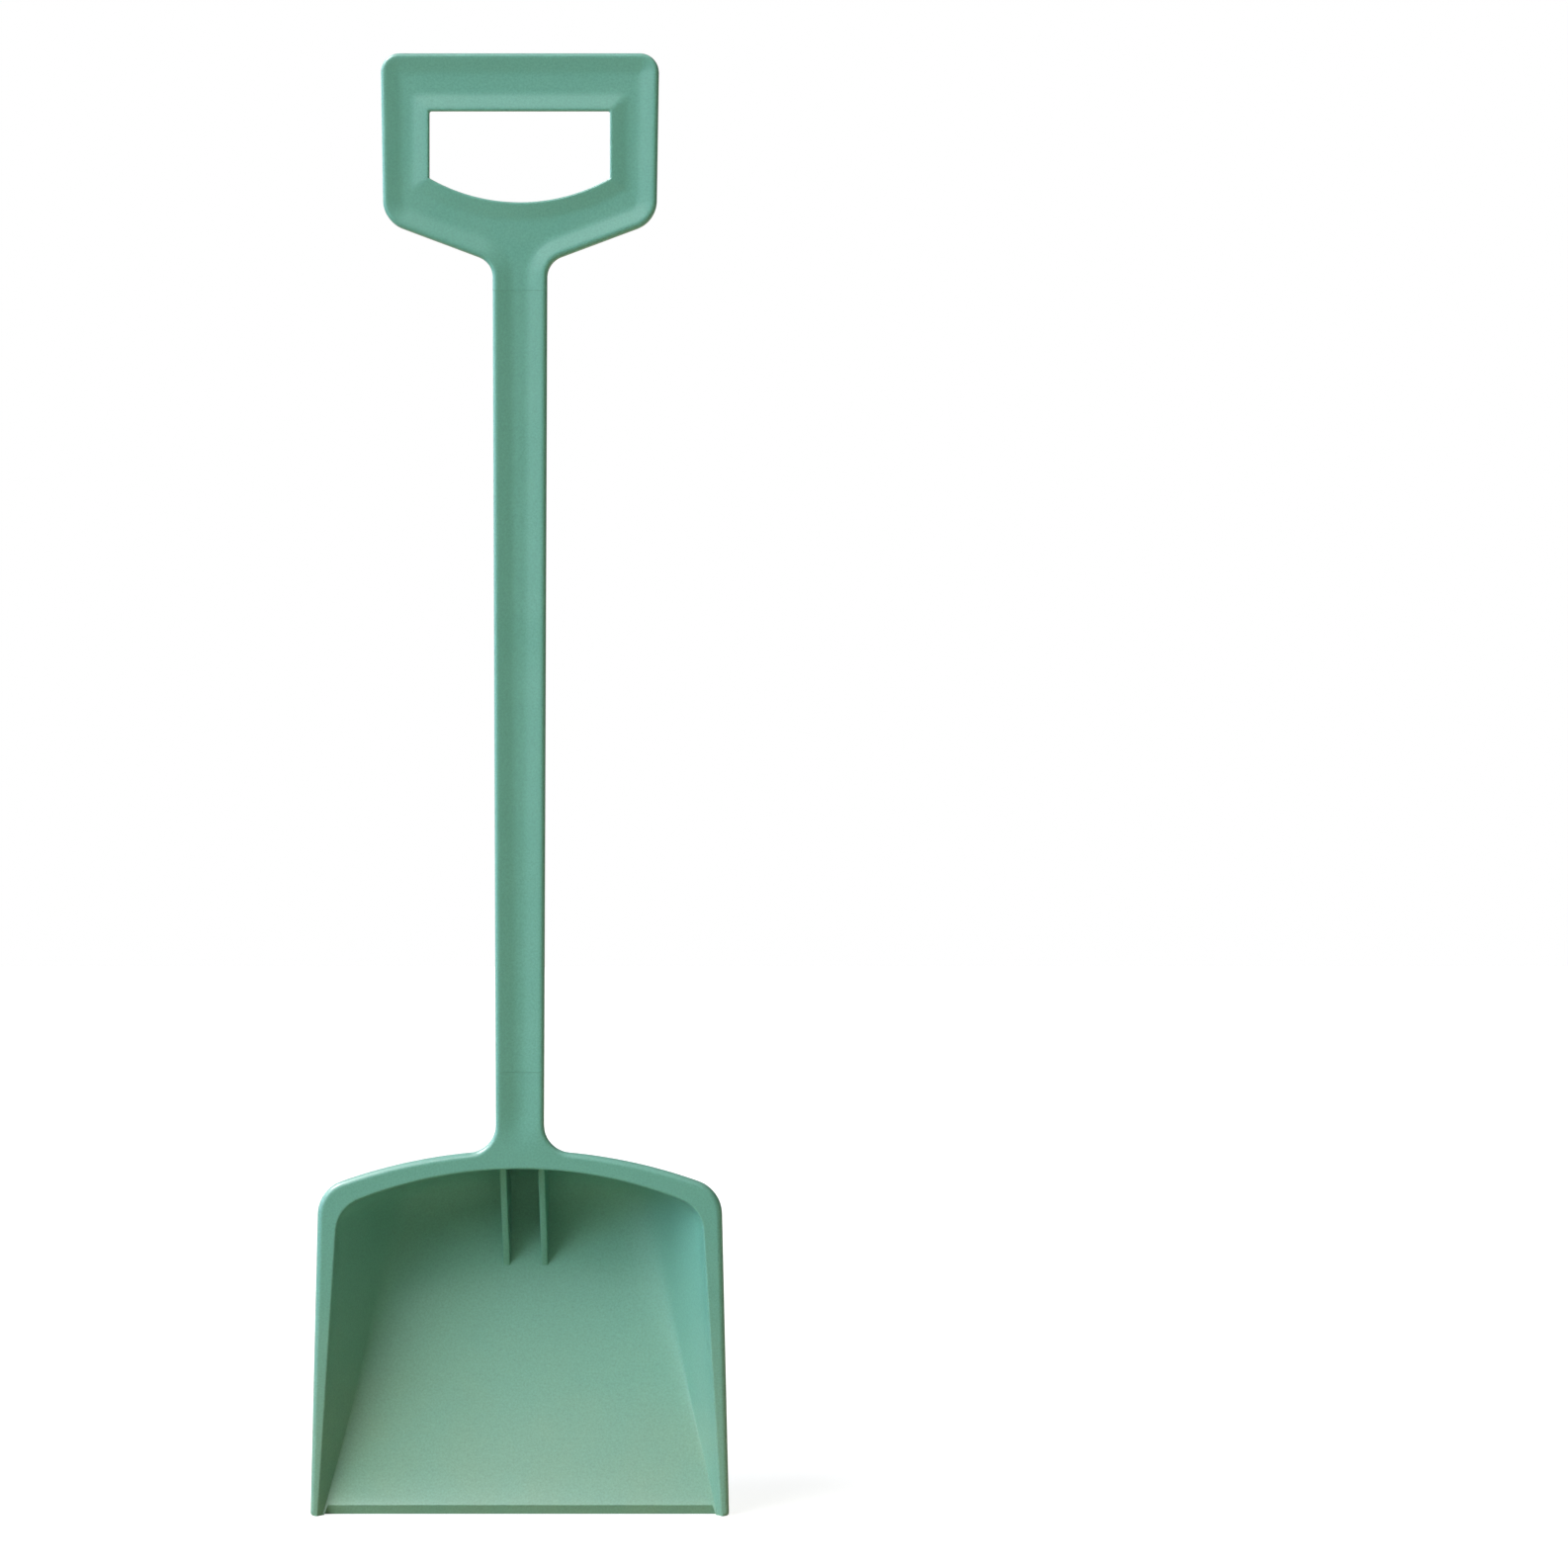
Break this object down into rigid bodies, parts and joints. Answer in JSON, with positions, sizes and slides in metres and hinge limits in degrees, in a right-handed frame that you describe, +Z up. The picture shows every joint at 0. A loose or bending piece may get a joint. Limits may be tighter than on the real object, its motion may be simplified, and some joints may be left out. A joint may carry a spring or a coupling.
{
  "type": "toy snow shovel",
  "caption": "Child's plastic snow shovel: a D grip with a hand opening, a shallow trough-section shaft and a flared, open-fronted scoop braced by gussets, snapped together at lap joints.",
  "frame": {"origin": "middle of the underside of the grip's top bar, where the shovel hangs on a peg", "axes": "+Z up along the shaft towards the grip, -Y out of the scoop's open front, +X to the right seen from the front"},
  "size_m": [0.2004, 0.0597, 0.7001],
  "materials": {
    "grip_plastic": "sage green moulded plastic, satin",
    "shaft_plastic": "sage green moulded plastic, satin",
    "scoop_plastic": "sage green moulded plastic, satin"
  },
  "bodies": {
    "root": {"d_grip": "grip_plastic", "shaft": "shaft_plastic", "scoop": "scoop_plastic"}
  },
  "joints": []
}
